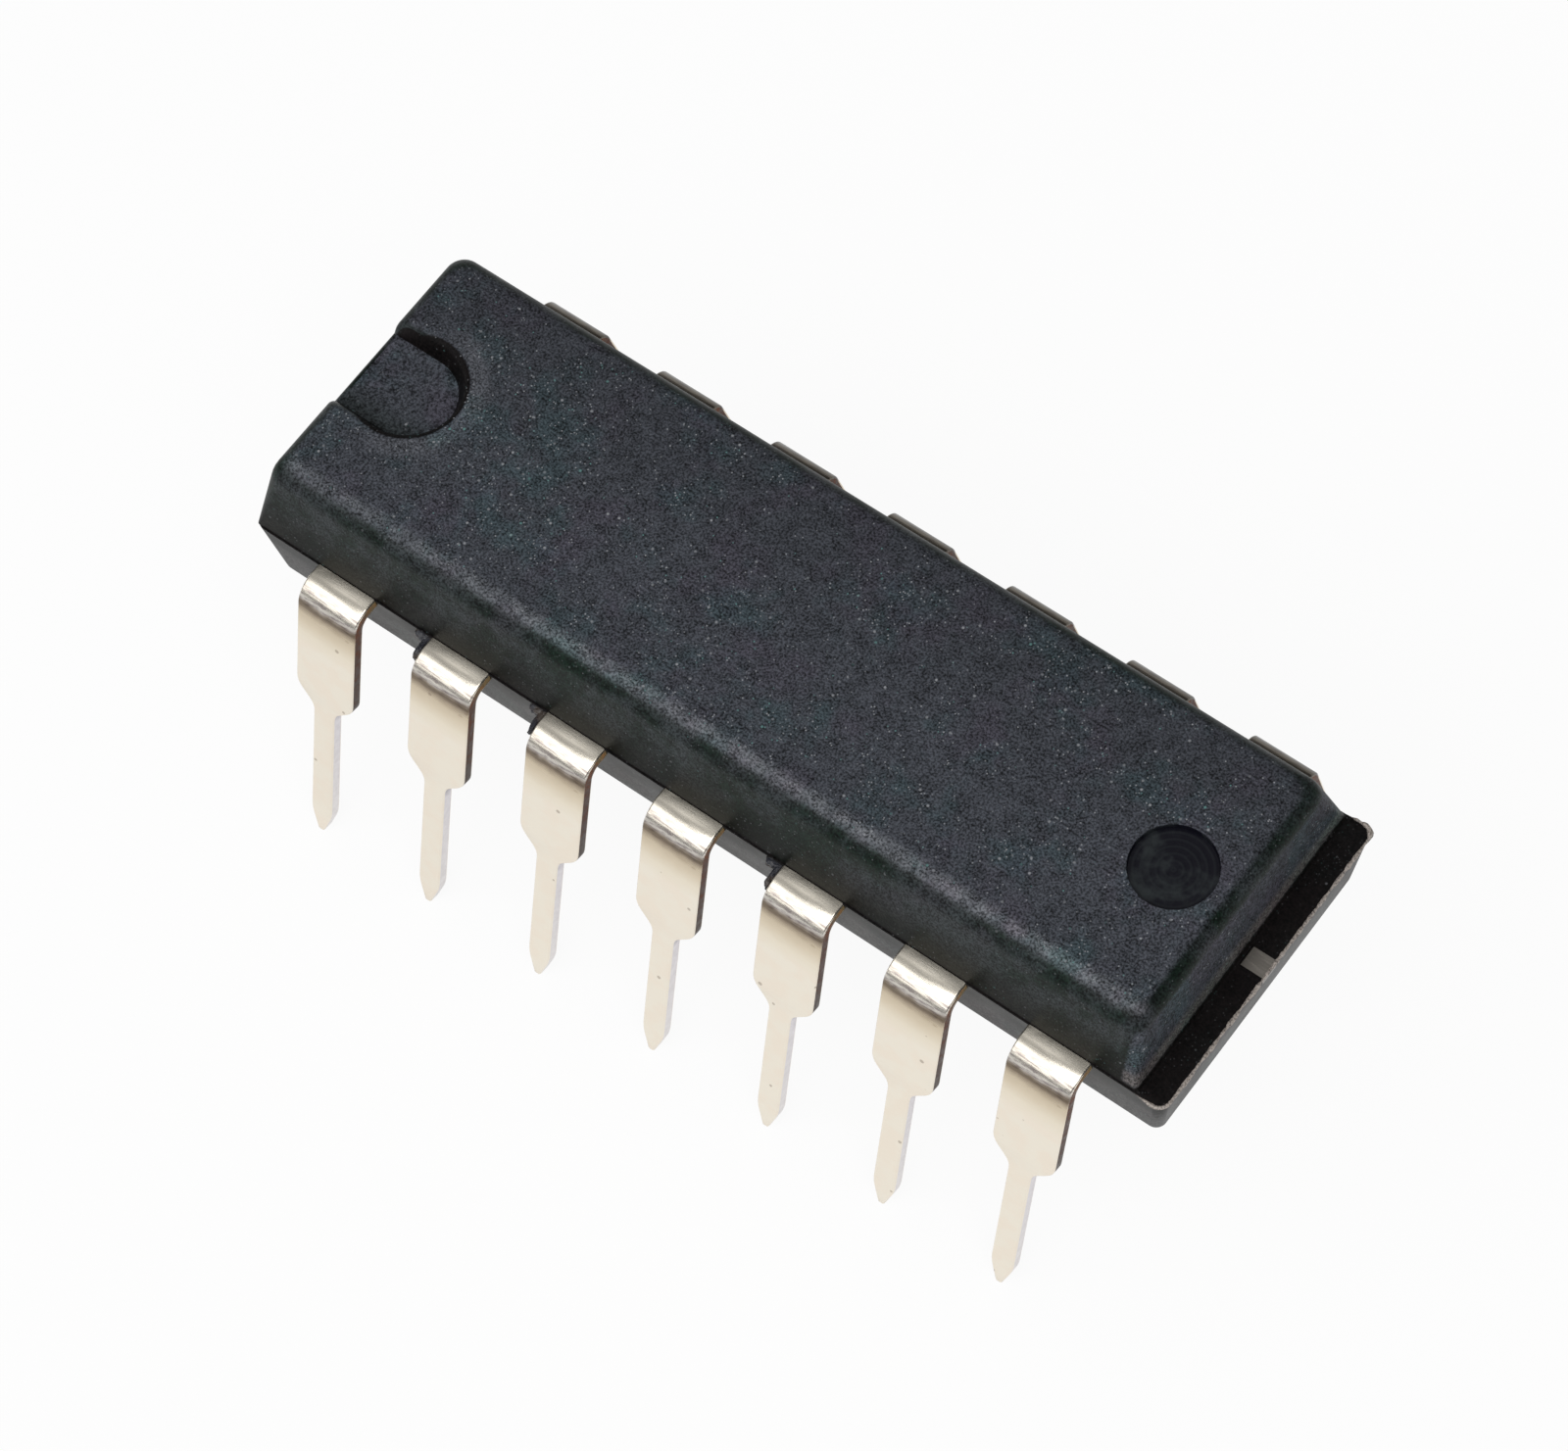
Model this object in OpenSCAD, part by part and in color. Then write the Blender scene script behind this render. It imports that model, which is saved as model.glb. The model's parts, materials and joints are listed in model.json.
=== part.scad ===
// Fourteen-pin dual in-line chip: a moulded resin body on a stamped and bent lead frame.
// The chip stands on its pin tips. X runs along the body, pin 1 is at -X and -Y, and Z is up.
// The origin is midway between the two rows of pins, on the plane of the pin tips.

/* [Body] */
// Length of the body, measured over its lower half
body_l = 19.4; // [19:0.1:20.5]
// Width of the body at the parting line
body_w = 6.24; // [6:0.02:6.6]
// Height of the upper half above the parting line
upper_h = 1.66; // [1.4:0.02:1.9]
// Height of the lower half below the parting line
lower_h = 1.64; // [1.5:0.02:2]
// Draft angle of the upper half's long sides
upper_draft = 13.5; // [4:0.5:16]
// Draft angle of the upper half's ends
upper_end_draft = 7; // [3:0.5:16]
// Draft angle of the lower half, all round
lower_draft = 7; // [3:0.5:10]
// How far the lower half stands out past the upper half at the +X end
end_step = 0.55; // [0.1:0.05:0.7]
// Radius of the rounded edge round the top face
top_round = 0.42; // [0.2:0.02:0.6]
// Radius of the rounded edge round the bottom face
bottom_round = 0.15; // [0.05:0.05:0.4]
// Radius of the upright corners of the upper half
upper_corner_r = 0.12; // [0.05:0.01:0.3]
// Radius of the upright corners of the lower half
lower_corner_r = 0.22; // [0.1:0.01:0.4]

/* [Index notch] */
// Radius of the notch's round end, at the top face
notch_r = 1; // [0.7:0.05:1.2]
// How far the notch reaches in from the -X end
notch_reach = 2.28; // [1.6:0.02:2.6]
// Depth of the notch below the top face
notch_depth = 0.4; // [0.3:0.02:0.8]
// Draft angle of the notch's wall
notch_draft = 24; // [3:1:28]

/* [Ejector marks] */
// Radius of the round marks that the mould's ejector pins leave
mark_r = 0.78; // [0.5:0.02:1]
// Depth of the marks
mark_depth = 0.12; // [0.05:0.01:0.25]
// Distance of the top mark's centre from the +X end
top_mark_inset = 1.95; // [1.9:0.05:4]
// Distance between the two marks on the bottom face
bottom_mark_span = 13; // [8:0.5:15]

/* [Leads] */
// Spacing of the leads along the body
pitch = 2.54; // [2.5:0.01:2.58]
// Thickness of the lead frame's strip
lead_t = 0.25; // [0.2:0.01:0.3]
// Width of a lead's shoulder
shoulder_w = 1.28; // [1.1:0.02:1.7]
// Width of a pin
pin_w = 0.46; // [0.38:0.01:0.54]
// How far a lead runs straight out of the body before its bend
lead_out = 0.06; // [0.03:0.01:0.2]
// Inner radius of the bend
bend_r = 0.2; // [0.1:0.01:0.35]
// Angle by which each row of pins splays outwards
splay = 14; // [0:0.5:20]
// Length of the shoulder from the bend to its chamfers
shoulder_l = 2.2; // [1.7:0.02:2.6]
// Length of the pin below the chamfers
pin_l = 3.84; // [3.2:0.02:4.4]
// Length of the taper at the pin's tip
taper_l = 0.55; // [0.3:0.05:0.9]
// Width of the blunt end of the tip
tip_w = 0.12; // [0.06:0.01:0.25]

/* [Resin flash] */
// Width of the scraps of resin left beside some leads
flash_w = 0.14; // [0.06:0.01:0.3]
// How far the scraps stand out of the body's side
flash_out = 0.12; // [0.05:0.01:0.2]

/* [Lead frame inside the body] */
// Depth of a lead's wide root inside the body
root_l = 0.5; // [0.35:0.05:0.65]
// Width of the fingers that run in to the chip
finger_w = 0.34; // [0.25:0.01:0.38]
// Clearance kept between the fingers, the paddle and its tie bars
frame_gap = 0.2; // [0.12:0.01:0.24]
// How far each finger runs in before it turns, for each place away from the middle
knee_run = 0.45; // [0.3:0.05:0.5]
// Spacing of the finger tips along the side of the paddle
tip_pitch = 1.15; // [0.95:0.05:1.3]
// Length of the paddle that carries the chip
paddle_l = 3.8; // [3.4:0.1:4.2]
// Width of the paddle
paddle_w = 2.6; // [2.4:0.1:2.7]
// Width of the tie bars that hold the paddle at both ends
tie_w = 0.4; // [0.25:0.05:0.5]

/* [Chip and glue] */
// Length of the silicon chip
die_l = 2; // [1.6:0.1:2.6]
// Width of the silicon chip
die_w = 1.7; // [1.3:0.1:2]
// Thickness of the silicon chip
die_h = 0.3; // [0.2:0.02:0.4]
// Thickness of the glue under the chip
glue_t = 0.03; // [0.02:0.005:0.05]
// How far the glue spreads past the chip
glue_spread = 0.1; // [0.05:0.01:0.18]

/* [Bond wires] */
// Diameter of a bond wire
wire_d = 0.03; // [0.025:0.005:0.038]
// Diameter of the ball that joins the wire to the chip
ball_d = 0.08; // [0.07:0.005:0.1]
// Height of the ball and of the stitch on the finger
bond_h = 0.04; // [0.04:0.005:0.06]
// Height of the wire's loop above the line between its ends
loop_h = 0.24; // [0.16:0.02:0.3]
// Distance of the bond pads from the chip's edge
pad_inset = 0.15; // [0.1:0.01:0.25]
// Spacing of the bond pads along the chip's long sides
pad_pitch = 0.6; // [0.4:0.02:0.66]
// Spacing of the bond pads along the chip's ends
pad_end_pitch = 0.3; // [0.2:0.02:0.4]

/* [Hidden] */
leads_a_side = 7;
lead_count = 2 * leads_a_side;
middle_column = (leads_a_side + 1) / 2;
// Leads that still carry a scrap of resin at their -X side
flashed_leads = [2, 3, 5];
// Overlap used where a cutting or joining shape has to run past a face
past = 0.3;

neck_l = (shoulder_w - pin_w) / 2;
leg_l = shoulder_l + neck_l + pin_l;
bend_outer_r = bend_r + lead_t;
bend_y = body_w / 2 + lead_out;
bend_z = leg_l * cos(splay) - bend_r * sin(splay);
// Top face of the lead frame, which is also the body's parting plane
parting_z = bend_z + bend_outer_r;
frame_z = parting_z - lead_t;
top_z = parting_z + upper_h;
bottom_z = parting_z - lower_h;
left_x = -body_l / 2;
right_x = body_l / 2;
upper_right_x = right_x - end_step;
root_y = body_w / 2 - root_l;
// Where the fingers end: two rows beside the paddle's ends and one along its sides
end_tip_x = paddle_l / 2 + frame_gap + finger_w / 2;
side_tip_y = paddle_w / 2 + frame_gap + finger_w / 2;
inner_tip_y = tie_w / 2 + frame_gap + finger_w / 2;
outer_tip_y = inner_tip_y + finger_w + frame_gap;
die_bottom_z = parting_z + glue_t;
die_top_z = die_bottom_z + die_h;
notch_x = left_x + notch_reach - notch_r;
stitch_l = 3 * bond_h;
stitch_w = 1.5 * bond_h;

resin_colour = "#303238";
tin_colour = "#d8d0c0";
frame_colour = "#c9c6bf";
silicon_colour = "#5a6078";
glue_colour = "#b9b4a6";
gold_colour = "#d9a93a";

// Leads 1 to 7 run along the -Y side and 8 to 14 come back along the +Y side
function on_near_side(n) = n <= leads_a_side;
function column(n) = (on_near_side(n) ? n : lead_count + 1 - n) - middle_column;
function knee_y(place) = root_y - knee_run * max(place - 1, 0.5);
// Finger tip and bond pad, for a lead that is so many places from the middle of its row
function tip_at(place) =
    place < 2 ? [place * tip_pitch, side_tip_y] :
    place == 2 ? [end_tip_x, outer_tip_y] : [end_tip_x, inner_tip_y];
function pad_at(place) =
    place < 2 ? [place * pad_pitch, die_w / 2 - pad_inset] :
    [die_l / 2 - pad_inset, place == 2 ? 2 * pad_end_pitch - pad_end_pitch / 2 : pad_end_pitch / 2];

// Half of a mould cavity seen from one side: sides with draft and a rounded edge at the far face
module cavity_profile(from, to, height, draft, round_r) {
    centre_z = height - round_r;
    centre_in = round_r / cos(draft) + centre_z * tan(draft);
    tangent_in = centre_in - round_r * cos(draft);
    tangent_z = centre_z + round_r * sin(draft);
    polygon([[from, 0], [to, 0], [to - tangent_in, tangent_z], [to - centre_in, height],
        [from + centre_in, height], [from + tangent_in, tangent_z]]);
    for (x = [from + centre_in, to - centre_in])
        translate([x, centre_z]) circle(r = round_r, $fn = 96);
}

module rounded_plan(from, to, width, corner_r) {
    translate([from + corner_r, -width / 2]) square([to - from - 2 * corner_r, width]);
    translate([from, corner_r - width / 2]) square([to - from, width - 2 * corner_r]);
    for (x = [from + corner_r, to - corner_r], y = [-1, 1])
        translate([x, y * (width / 2 - corner_r)]) circle(r = corner_r, $fn = 64);
}

// Half of the moulded body, standing up from the plane Z = 0
module cavity_half(from, to, height, draft, end_draft, round_r, corner_r) {
    intersection() {
        translate([from - past, 0, 0]) rotate([90, 0, 90])
            linear_extrude(to - from + 2 * past)
                cavity_profile(-body_w / 2, body_w / 2, height, draft, round_r);
        translate([0, body_w / 2 + past, 0]) rotate([90, 0, 0])
            linear_extrude(body_w + 2 * past)
                cavity_profile(from, to, height, end_draft, round_r);
        linear_extrude(height) rounded_plan(from, to, body_w, corner_r);
    }
}

// Index notch: a drafted half cone that runs out through the -X end
module notch_cut() {
    rise = past;
    floor_r = notch_r - notch_depth * tan(notch_draft);
    mouth_r = notch_r + rise * tan(notch_draft);
    cut_h = notch_depth + rise;
    translate([notch_x, 0, top_z - notch_depth]) {
        cylinder(h = cut_h, r1 = floor_r, r2 = mouth_r, $fn = 128);
        rotate([90, 0, -90]) linear_extrude(notch_x - left_x + past)
            polygon([[-floor_r, 0], [floor_r, 0], [mouth_r, cut_h], [-mouth_r, cut_h]]);
    }
}

module ejector_marks() {
    translate([right_x - top_mark_inset, 0, top_z - mark_depth])
        cylinder(h = mark_depth + past, r = mark_r, $fn = 128);
    for (side = [-1, 1])
        translate([side * bottom_mark_span / 2, 0, bottom_z - past])
            cylinder(h = mark_depth + past, r = mark_r, $fn = 128);
}

module flash_scrap(n) {
    translate([column(n) * pitch - shoulder_w / 2 - flash_w, -body_w / 2 - flash_out, frame_z])
        cube([flash_w, flash_out + past, lead_t]);
}

module package_body() {
    color(resin_colour) difference() {
        union() {
            translate([0, 0, parting_z])
                cavity_half(left_x, upper_right_x, upper_h, upper_draft, upper_end_draft,
                    top_round, upper_corner_r);
            translate([0, 0, parting_z]) mirror([0, 0, 1])
                cavity_half(left_x, right_x, lower_h, lower_draft, lower_draft,
                    bottom_round, lower_corner_r);
            for (n = flashed_leads) flash_scrap(n);
        }
        notch_cut();
        ejector_marks();
        for (n = [1:lead_count]) at_lead(n) lead_in_body(abs(column(n)));
        paddle_shape();
        glue_shape();
        die_shape();
        for (n = [1:lead_count]) wire_shape(n);
    }
}

// Puts a lead drawn on the -Y side, running in towards +X, where lead n is
module at_lead(n) {
    mirror([0, on_near_side(n) ? 0 : 1, 0]) mirror([column(n) > 0 ? 1 : 0, 0, 0]) children();
}

// A straight stretch of finger with round ends
module finger_run(a, b) {
    run = b - a;
    translate(a) rotate(atan2(run[1], run[0])) translate([0, -finger_w / 2])
        square([norm(run), finger_w]);
    for (end = [a, b]) translate(end) circle(d = finger_w, $fn = 48);
}

// The part of a lead that the resin holds: a wide root, then a finger that turns to the chip
module lead_in_body(place) {
    x = -place * pitch;
    root = [x, -root_y - finger_w / 2];
    knee = [x, -knee_y(place)];
    tip = [-tip_at(place)[0], -tip_at(place)[1]];
    translate([0, 0, frame_z]) linear_extrude(lead_t) {
        translate([x - shoulder_w / 2, -bend_y]) square([shoulder_w, bend_y - root_y]);
        if (place == 0) finger_run(root, tip);
        else {
            finger_run(root, knee);
            finger_run(knee, tip);
        }
    }
}

module bend_profile() {
    reach = 2 * bend_outer_r;
    intersection() {
        difference() {
            circle(r = bend_outer_r, $fn = 128);
            circle(r = bend_r, $fn = 128);
        }
        polygon([[0, 0], [0, reach], [-reach, reach], [-reach, reach * tan(splay)]]);
    }
}

// Outline of a leg laid flat: shoulder, chamfers, pin and pointed tip
module leg_outline() {
    half = [
        [shoulder_w / 2, 0],
        [shoulder_w / 2, -shoulder_l],
        [pin_w / 2, -shoulder_l - neck_l],
        [pin_w / 2, taper_l - leg_l],
        [tip_w / 2, -leg_l]
    ];
    mirrored = [for (i = [len(half) - 1:-1:0]) [-half[i][0], half[i][1]]];
    polygon(concat(half, mirrored));
}

module lead_outside(place) {
    translate([-place * pitch, -bend_y, bend_z]) {
        translate([-shoulder_w / 2, 0, 0]) rotate([90, 0, 90])
            linear_extrude(shoulder_w) bend_profile();
        rotate([-splay, 0, 0]) translate([0, -bend_r, 0]) rotate([90, 0, 0])
            linear_extrude(lead_t) leg_outline();
    }
}

module lead(n) {
    color(tin_colour) at_lead(n) union() {
        lead_in_body(abs(column(n)));
        lead_outside(abs(column(n)));
    }
}

// Paddle with its two tie bars, which are cut off flush with the body's ends
module paddle_shape() {
    translate([0, 0, frame_z]) linear_extrude(lead_t) {
        square([paddle_l, paddle_w], center = true);
        translate([left_x, -tie_w / 2]) square([body_l, tie_w]);
    }
}

module die_paddle() {
    color(frame_colour) paddle_shape();
}

module glue_shape() {
    translate([-die_l / 2 - glue_spread, -die_w / 2 - glue_spread, parting_z])
        cube([die_l + 2 * glue_spread, die_w + 2 * glue_spread, glue_t]);
}

module die_glue() {
    color(glue_colour) glue_shape();
}

module die_shape() {
    translate([-die_l / 2, -die_w / 2, die_bottom_z]) cube([die_l, die_w, die_h]);
}

module die() {
    color(silicon_colour) die_shape();
}

// One bond wire: a ball on the chip, a round loop, and a stitch on the finger's tip
module wire_shape(n) {
    place = abs(column(n));
    side = [column(n) < 0 ? -1 : 1, on_near_side(n) ? -1 : 1];
    pad = [side[0] * pad_at(place)[0], side[1] * pad_at(place)[1]];
    stitch = [side[0] * tip_at(place)[0], side[1] * tip_at(place)[1]];
    run = norm(stitch - pad);
    heading = atan2(stitch[1] - pad[1], stitch[0] - pad[0]);
    drop = die_top_z - parting_z;
    chord = norm([run, drop]);
    tilt = -atan2(drop, run);
    loop_r = (chord * chord / 4 + loop_h * loop_h) / (2 * loop_h);
    half_angle = asin(chord / 2 / loop_r);
    below = loop_r - loop_h;
    translate([pad[0], pad[1], die_top_z]) rotate([0, 0, heading]) {
        cylinder(h = bond_h, d = ball_d, $fn = 32);
        translate([run / 2 + below * sin(tilt), 0, bond_h / 2 - drop / 2 - below * cos(tilt)])
            rotate([90, 0, 0]) rotate([0, 0, 90 + tilt - half_angle])
                rotate_extrude(angle = 2 * half_angle, $fn = 96)
                    translate([loop_r, 0]) circle(d = wire_d, $fn = 16);
        translate([run - stitch_l / 2, -stitch_w / 2, -drop]) cube([stitch_l, stitch_w, bond_h]);
    }
}

module bond_wire(n) {
    color(gold_colour) wire_shape(n);
}

package_body();
die_paddle();
die_glue();
die();
lead(1);  // lead_01
lead(2);  // lead_02
lead(3);  // lead_03
lead(4);  // lead_04
lead(5);  // lead_05
lead(6);  // lead_06
lead(7);  // lead_07
lead(8);  // lead_08
lead(9);  // lead_09
lead(10);  // lead_10
lead(11);  // lead_11
lead(12);  // lead_12
lead(13);  // lead_13
lead(14);  // lead_14
bond_wire(1);  // bond_wire_01
bond_wire(2);  // bond_wire_02
bond_wire(3);  // bond_wire_03
bond_wire(4);  // bond_wire_04
bond_wire(5);  // bond_wire_05
bond_wire(6);  // bond_wire_06
bond_wire(7);  // bond_wire_07
bond_wire(8);  // bond_wire_08
bond_wire(9);  // bond_wire_09
bond_wire(10);  // bond_wire_10
bond_wire(11);  // bond_wire_11
bond_wire(12);  // bond_wire_12
bond_wire(13);  // bond_wire_13
bond_wire(14);  // bond_wire_14
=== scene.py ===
import json
from math import copysign, cos, pi, radians, sin, sqrt, tan, tau

import bmesh
import bpy
from mathutils import Matrix, Vector, noise

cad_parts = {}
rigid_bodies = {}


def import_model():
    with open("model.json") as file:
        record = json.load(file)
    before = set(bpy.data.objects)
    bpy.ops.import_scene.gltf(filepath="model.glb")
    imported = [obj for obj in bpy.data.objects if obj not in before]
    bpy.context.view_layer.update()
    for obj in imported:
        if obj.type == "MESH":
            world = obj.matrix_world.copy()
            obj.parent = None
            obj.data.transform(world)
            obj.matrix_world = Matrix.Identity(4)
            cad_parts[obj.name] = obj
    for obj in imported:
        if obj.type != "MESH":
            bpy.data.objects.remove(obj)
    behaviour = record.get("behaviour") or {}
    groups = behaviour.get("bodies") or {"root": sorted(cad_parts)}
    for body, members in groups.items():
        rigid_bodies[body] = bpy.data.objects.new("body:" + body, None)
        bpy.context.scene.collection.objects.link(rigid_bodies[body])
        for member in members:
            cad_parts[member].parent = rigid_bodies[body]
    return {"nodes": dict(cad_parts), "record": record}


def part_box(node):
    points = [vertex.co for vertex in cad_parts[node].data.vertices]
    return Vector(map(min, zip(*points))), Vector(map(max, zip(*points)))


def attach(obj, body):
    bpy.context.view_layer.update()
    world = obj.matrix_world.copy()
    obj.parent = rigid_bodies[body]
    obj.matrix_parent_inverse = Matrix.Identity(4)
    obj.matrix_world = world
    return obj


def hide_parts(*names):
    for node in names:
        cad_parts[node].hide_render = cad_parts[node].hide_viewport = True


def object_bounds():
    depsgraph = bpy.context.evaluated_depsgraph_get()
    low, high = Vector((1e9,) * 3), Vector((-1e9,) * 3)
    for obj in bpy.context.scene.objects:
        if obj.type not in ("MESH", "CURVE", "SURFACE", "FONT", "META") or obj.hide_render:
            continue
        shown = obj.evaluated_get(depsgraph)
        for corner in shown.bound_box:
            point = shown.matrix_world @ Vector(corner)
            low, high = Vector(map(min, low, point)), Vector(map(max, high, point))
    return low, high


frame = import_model()
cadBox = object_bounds()
nodes = frame["nodes"]
mm = 0.001

# the body's lowest and highest corners and the height of its parting line, mm
bodyLow, bodyHigh = (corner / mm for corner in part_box("package_body"))
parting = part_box("lead_04")[1].z / mm
halfLength = bodyHigh.x

view = {
    "imageWidth": 1600,        # px
    "focalLength": 5287.95,    # px
    "sensor": 36,              # mm
    "azimuth": 43.328,         # degrees
    "elevation": 63.088,
    "roll": -7.547,
    "distance": 95.33,         # mm
    "clip": (0.005, 5),        # m
    "target": (-1.677, 1.163, parting - 5.8),
}


def newObject(name, data):
    piece = bpy.data.objects.new(name, data)
    bpy.context.scene.collection.objects.link(piece)
    return piece


def addCamera():
    azimuth, elevation = radians(view["azimuth"]), radians(view["elevation"])
    back = Vector((sin(azimuth) * cos(elevation),
                   -cos(azimuth) * cos(elevation), sin(elevation)))
    level = Vector((cos(azimuth), sin(azimuth), 0))
    right = Matrix.Rotation(radians(view["roll"]), 3, back) @ level
    camera = newObject("camera", bpy.data.cameras.new("camera"))
    camera.data.sensor_width = view["sensor"]
    camera.data.lens = view["focalLength"] * view["sensor"] / view["imageWidth"]
    camera.data.clip_start, camera.data.clip_end = view["clip"]
    place = Matrix((right, back.cross(right), back)).transposed().to_4x4()
    place.translation = (Vector(view["target"]) + back * view["distance"]) * mm
    camera.matrix_world = place
    bpy.context.scene.camera = camera


addCamera()
print("camera: set to the photograph's angle")


# The evaluated object becomes a plain mesh under the same name
def settle(piece):
    name = piece.name
    evaluated = piece.evaluated_get(bpy.context.evaluated_depsgraph_get())
    mesh = bpy.data.meshes.new_from_object(evaluated)
    bpy.data.objects.remove(piece)
    piece = newObject(name, mesh)
    mesh.name = name
    return piece


def meshFrom(name, bm):
    mesh = bpy.data.meshes.new(name)
    bm.to_mesh(mesh)
    bm.free()
    return mesh


def shadeSoftly(piece, sharpFrom=40):
    mesh = piece.data
    mesh.shade_smooth()
    mesh.set_sharp_from_angle(angle=radians(sharpFrom))
    weigh = piece.modifiers.new("faceWeights", "WEIGHTED_NORMAL")
    weigh.keep_sharp = True
    weigh.weight = 80


body = {
    "halfWidth": 3.12,         # mm, at the parting line
    "endStep": 0.55,           # upper half stops this far before the +X end
    "sideDraft": 13.5,         # degrees
    "endDraft": 7,
    "bottomDraft": 7,
    "topRound": 0.42,          # mm
    "bottomRound": 0.15,
    "cornerAtParting": 0.06,   # the upright corners open out towards the top
    "cornerAtTop": 0.4,
    "bottomCorner": 0.2,
    "mouldShift": 0.012,       # small step along the parting line
    "partingRound": 0.02,
    "stepFillet": 0.08,
    "notchRadius": 1,
    "notchReach": 2.28,
    "notchDepth": 0.4,
    "notchDraft": 24,
    "notchRim": 0.1,
    "markRadius": 0.78,
    "markDepth": 0.12,
    "markDraft": 8,
    "markRim": 0.018,
    "topMarkInset": 1.95,
    "bottomMarkSpan": 13,
    "tieWidth": 0.4,
    "tieHeight": 0.25,
    "tieGap": 0.004,
    "tieOpening": (0.1, 0.3),  # its cutter goes from behind the upper half to past the end
    "tieCover": (0.03, 0.002),  # room over the bar on the ledge, and at the other end
    "cutterReach": 0.5,        # the notch's cutter starts this far outside the end
    "cutterRise": (0.4, 0.1),  # and the notch's and marks' cutters reach this far above the face
    "cornerSteps": 8,
    "roundSteps": 14,
    "partingSteps": 3,
    "filletSteps": 4,
    "wallSteps": 5,
    "notchSteps": 64,
    "markSteps": 72,
    "rimSegments": (5, 2),     # notch, marks
}
# material slots of the body
resinSlot, notchSlot, markSlot, scrapSlot = range(4)
notchCentre = -halfLength + body["notchReach"] - body["notchRadius"]
topMarkX = halfLength - body["topMarkInset"]
upperEnd = halfLength - body["endStep"]


# How far a drafted wall, with a round of radius r at its far edge, stands in at a height
def insetAt(height, total, draft, r):
    lean = radians(draft)
    centreIn = r / cos(lean) + (total - r) * tan(lean)
    if height <= total - r + r * sin(lean):
        return height * tan(lean)
    return centreIn - sqrt(max(0, r * r - (height - total + r) ** 2))


def wallHeights(total, draft, r):
    lean = radians(draft)
    turns = (lean + (pi / 2 - lean) * i / body["roundSteps"]
             for i in range(body["roundSteps"] + 1))
    return [total - r + r * sin(turn) for turn in turns]


def outline(left, right, halfWidth, corner, height):
    steps = body["cornerSteps"]
    points = []
    for i, (x, y) in enumerate(((right, halfWidth), (left, halfWidth),
                                (left, -halfWidth), (right, -halfWidth))):
        centre = Vector((x - copysign(corner, x), y - copysign(corner, y), height))
        for k in range(steps + 1):
            turn = pi / 2 * (i + k / steps)
            points.append(centre + corner * Vector((cos(turn), sin(turn), 0)))
    return points


def bodyLoops():
    half, edge, fillet = body["halfWidth"], body["partingRound"], body["stepFillet"]
    lowerHeight, upperHeight = parting - bodyLow.z, bodyHigh.z - parting
    loops = []
    falls = [edge] + wallHeights(lowerHeight, body["bottomDraft"], body["bottomRound"])
    for fall in reversed(falls):
        inset = insetAt(fall, lowerHeight, body["bottomDraft"], body["bottomRound"])
        loops.append(outline(inset - halfLength, halfLength - inset, half - inset,
                             body["bottomCorner"], parting - fall))
    for k in range(1, body["partingSteps"] + 1):
        turn = pi / 2 * k / body["partingSteps"]
        inset = edge * (1 - cos(turn))
        loops.append(outline(inset - halfLength, halfLength - inset, half - inset,
                             body["bottomCorner"], parting - edge * (1 - sin(turn))))
    lip = body["mouldShift"] + edge

    def upperLoop(up, reach=0):
        side = insetAt(up, upperHeight, body["sideDraft"], body["topRound"])
        end = insetAt(up, upperHeight, body["endDraft"], body["topRound"])
        share = up / upperHeight
        corner = body["cornerAtParting"] * (1 - share) + body["cornerAtTop"] * share
        return outline(end + lip - halfLength, upperEnd - end + reach, half - side - lip,
                       corner, parting + up)

    for k in range(body["filletSteps"] + 1):
        turn = pi / 2 * k / body["filletSteps"]
        loops.append(upperLoop(fillet * (1 - cos(turn)), fillet * (1 - sin(turn))))
    flat = upperHeight - body["topRound"] - fillet
    for i in range(1, body["wallSteps"]):
        loops.append(upperLoop(fillet + flat * i / body["wallSteps"]))
    loops += map(upperLoop, wallHeights(upperHeight, body["endDraft"], body["topRound"]))
    return loops


def lofted(name, loops, material=resinSlot):
    bm = bmesh.new()
    rings = [[bm.verts.new(point * mm) for point in loop] for loop in loops]
    for low, high in zip(rings, rings[1:]):
        for i in range(len(low)):
            k = (i + 1) % len(low)
            bm.faces.new((low[i], low[k], high[k], high[i]))
    bm.faces.new(rings[0][::-1])
    bm.faces.new(rings[-1])
    for face in bm.faces:
        face.material_index = material
    return newObject(name, meshFrom(name, bm))


def notchCutter():
    outside, steps = -halfLength - body["cutterReach"], body["notchSteps"]
    loops = []
    for height in (-body["notchDepth"], body["cutterRise"][0]):
        radius = body["notchRadius"] + height * tan(radians(body["notchDraft"]))
        z = bodyHigh.z + height
        points = [Vector((outside, -radius, z))]
        for k in range(steps + 1):
            turn = pi * (k / steps - 0.5)
            points.append(Vector((notchCentre + radius * cos(turn),
                                  radius * sin(turn), z)))
        points.append(Vector((outside, radius, z)))
        loops.append(points)
    return lofted("notchCutter", loops, notchSlot)


def markCutter(x, side):
    surface = bodyHigh.z if side > 0 else bodyLow.z
    turns = [tau * k / body["markSteps"] for k in range(body["markSteps"])]
    loops = []
    for height in (-body["markDepth"], body["cutterRise"][1]):
        radius = body["markRadius"] + height * tan(radians(body["markDraft"]))
        loops.append([Vector((x + radius * cos(turn), radius * sin(turn),
                              surface + side * height)) for turn in turns])
    if side < 0:
        loops.reverse()
    return lofted("markCutter", loops, markSlot)


# Room in the resin for the two cut ends of the paddle's tie bars
def tieCutter(fromX, toX, top):
    gap = body["tieGap"]
    half = body["tieWidth"] / 2 + gap
    corners = ((fromX, -half), (toX, -half), (toX, half), (fromX, half))
    return lofted("tieCutter", [[Vector((x, y, z)) for x, y in corners] for z in (
        parting - body["tieHeight"] - gap, parting + top)])


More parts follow.
